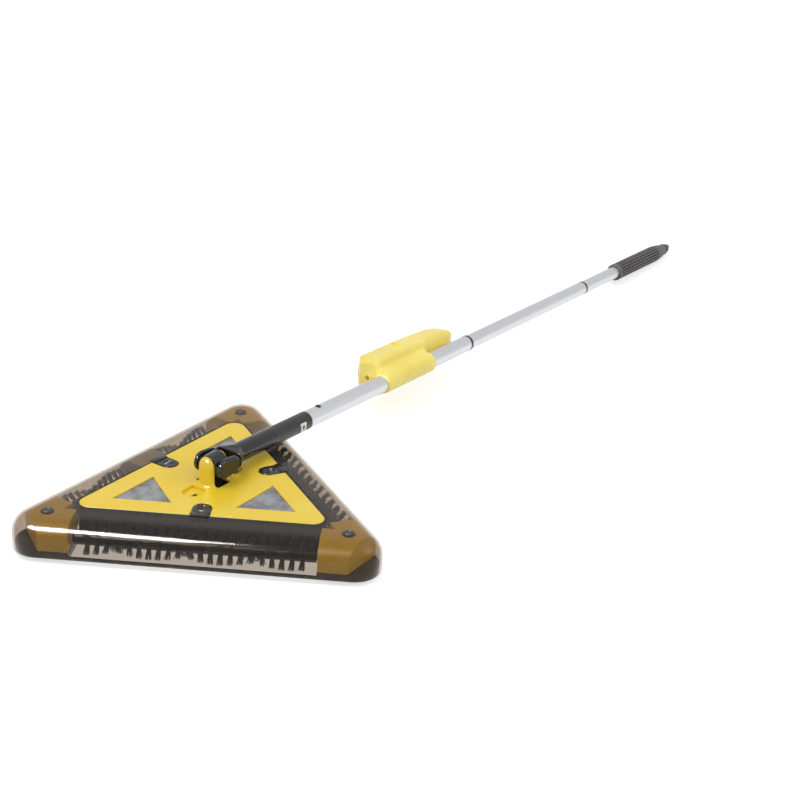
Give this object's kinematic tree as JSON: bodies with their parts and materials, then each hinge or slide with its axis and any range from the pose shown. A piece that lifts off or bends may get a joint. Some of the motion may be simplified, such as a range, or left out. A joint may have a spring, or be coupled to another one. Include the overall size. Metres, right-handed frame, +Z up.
{
  "type": "cordless floor sweeper",
  "caption": "Cordless triangular floor sweeper: smoked clear head with driven brushes, lift-off lid, two-axis swivel, tube handle with clip-on battery pack and grip.",
  "frame": {"origin": "middle of the triangular head, on the floor that its feet stand on", "axes": "+Y along the laid-down handle, +X towards one corner of the head, +Z up"},
  "size_m": [0.3025, 1.2258, 0.069],
  "materials": {
    "smoked_clear": "clear smoked",
    "black_gloss": "gloss",
    "black_plastic": "satin",
    "yellow_gloss": "semi-gloss",
    "window_clear": "clear grey",
    "tray_clear": "satin",
    "white_plastic": "satin",
    "grey_plastic": "satin",
    "bristle": "bristle",
    "silver_tube": "satin anodised",
    "grip_rubber": "matte",
    "black_rubber": "matte",
    "steel": "plated",
    "brass": "plain",
    "cell_wrap": "shrink wrap"
  },
  "bodies": {
    "head": {"top_shell": "smoked_clear", "chassis": "black_gloss", "lid_seal": "black_rubber", "corner_housing_a": "yellow_gloss", "corner_housing_b": "yellow_gloss", "corner_housing_c": "yellow_gloss", "drive_housing": "yellow_gloss", "shell_screws": "grey_plastic", "base_feet": "black_rubber", "shaft_bushes": "white_plastic", "dust_tray": "tray_clear", "motor": "steel", "drive_belt": "black_rubber"},
    "lid": {"lid": "yellow_gloss", "window_panes": "window_clear", "cable_bushing": "black_gloss", "latch_pins": "steel"},
    "latch_a": {"latch_a": "black_gloss"},
    "latch_b": {"latch_b": "black_gloss"},
    "latch_c": {"latch_c": "black_gloss"},
    "knuckle": {"knuckle": "black_gloss"},
    "handle": {"fork_pin": "steel", "fork_socket": "black_gloss", "button_spring": "steel", "tube_lower": "silver_tube", "tube_middle": "silver_tube", "tube_upper": "silver_tube", "joint_sleeve_lower": "black_plastic", "joint_sleeve_upper": "black_plastic", "tube_plug": "black_plastic", "grip": "grip_rubber", "end_cap": "black_plastic", "pack_housing": "yellow_gloss", "contact_block": "black_plastic", "pack_contacts": "brass", "switch_frame": "black_plastic", "charge_socket": "black_plastic"},
    "lock_tab": {"lock_tab": "white_plastic"},
    "spring_button": {"spring_button": "black_plastic"},
    "rocker": {"rocker": "black_plastic"},
    "battery": {"battery_case": "yellow_gloss", "battery_cells": "cell_wrap", "battery_contacts": "brass"},
    "brush_a": {"brush_core_a": "black_plastic", "brush_tufts_a": "bristle", "bevel_gears_a": "white_plastic", "brush_pulley": "white_plastic"},
    "brush_b": {"brush_core_b": "black_plastic", "brush_tufts_b": "bristle", "bevel_gears_b": "white_plastic"},
    "brush_c": {"brush_core_c": "black_plastic", "brush_tufts_c": "bristle", "bevel_gears_c": "white_plastic"},
    "motor_rotor": {"motor_pulley": "white_plastic"}
  },
  "joints": [
    {"name": "lid_lift", "type": "slide", "parent": "head", "child": "lid", "axis": [0, 0, 1], "range_m": [0, 0.06]},
    {"name": "latch_a_press", "type": "hinge", "parent": "lid", "child": "latch_a", "pos_m": [-0.06, 0, 0.0385], "axis": [0, 1, 0], "range_deg": [0, 10], "stiffness_Nm_per_rad": 0.02},
    {"name": "latch_b_press", "type": "hinge", "parent": "lid", "child": "latch_b", "pos_m": [0.03, -0.05196, 0.0385], "axis": [-0.866, -0.5, 0], "range_deg": [0, 10], "stiffness_Nm_per_rad": 0.02},
    {"name": "latch_c_press", "type": "hinge", "parent": "lid", "child": "latch_c", "pos_m": [0.03, 0.05196, 0.0385], "axis": [0.866, -0.5, 0], "range_deg": [0, 10], "stiffness_Nm_per_rad": 0.02},
    {"name": "knuckle_roll", "type": "hinge", "parent": "lid", "child": "knuckle", "pos_m": [0, 0, 0.057], "axis": [0, 1, 0], "range_deg": [-15, 15]},
    {"name": "handle_tilt", "type": "hinge", "parent": "knuckle", "child": "handle", "pos_m": [0, 0, 0.057], "axis": [1, 0, 0], "range_deg": [0, 180]},
    {"name": "battery_slide", "type": "slide", "parent": "handle", "child": "battery", "axis": [0, 0.999, -0.0446], "range_m": [0, 0.08]},
    {"name": "rocker_press", "type": "hinge", "parent": "handle", "child": "rocker", "pos_m": [-0.041, 0.31269, 0.04305], "axis": [0, 0.0446, 0.999], "range_deg": [0, 16]},
    {"name": "lock_tab_press", "type": "slide", "parent": "handle", "child": "lock_tab", "axis": [-1, 0, 0], "range_m": [0, 0.0015], "stiffness_N_per_m": 300},
    {"name": "spring_button_press", "type": "slide", "parent": "handle", "child": "spring_button", "axis": [0, -0.0446, -0.999], "range_m": [0, 0.002], "stiffness_N_per_m": 300},
    {"name": "brush_a_spin", "type": "hinge", "parent": "head", "child": "brush_a", "pos_m": [-0.0895, 0, 0.019], "axis": [0, -1, 0], "continuous": true},
    {"name": "brush_b_spin", "type": "hinge", "parent": "head", "child": "brush_b", "pos_m": [0.04475, -0.07751, 0.019], "axis": [0.866, 0.5, 0], "continuous": true},
    {"name": "brush_c_spin", "type": "hinge", "parent": "head", "child": "brush_c", "pos_m": [0.04475, 0.07751, 0.019], "axis": [-0.866, 0.5, 0], "continuous": true},
    {"name": "motor_spin", "type": "hinge", "parent": "head", "child": "motor_rotor", "pos_m": [-0.052, 0, 0.019], "axis": [0, -1, 0], "continuous": true}
  ],
  "couplings": [
    {"joint": "brush_b_spin", "follows": "brush_a_spin", "ratio": 1},
    {"joint": "brush_c_spin", "follows": "brush_a_spin", "ratio": 1},
    {"joint": "motor_spin", "follows": "brush_a_spin", "ratio": 1.2857}
  ]
}
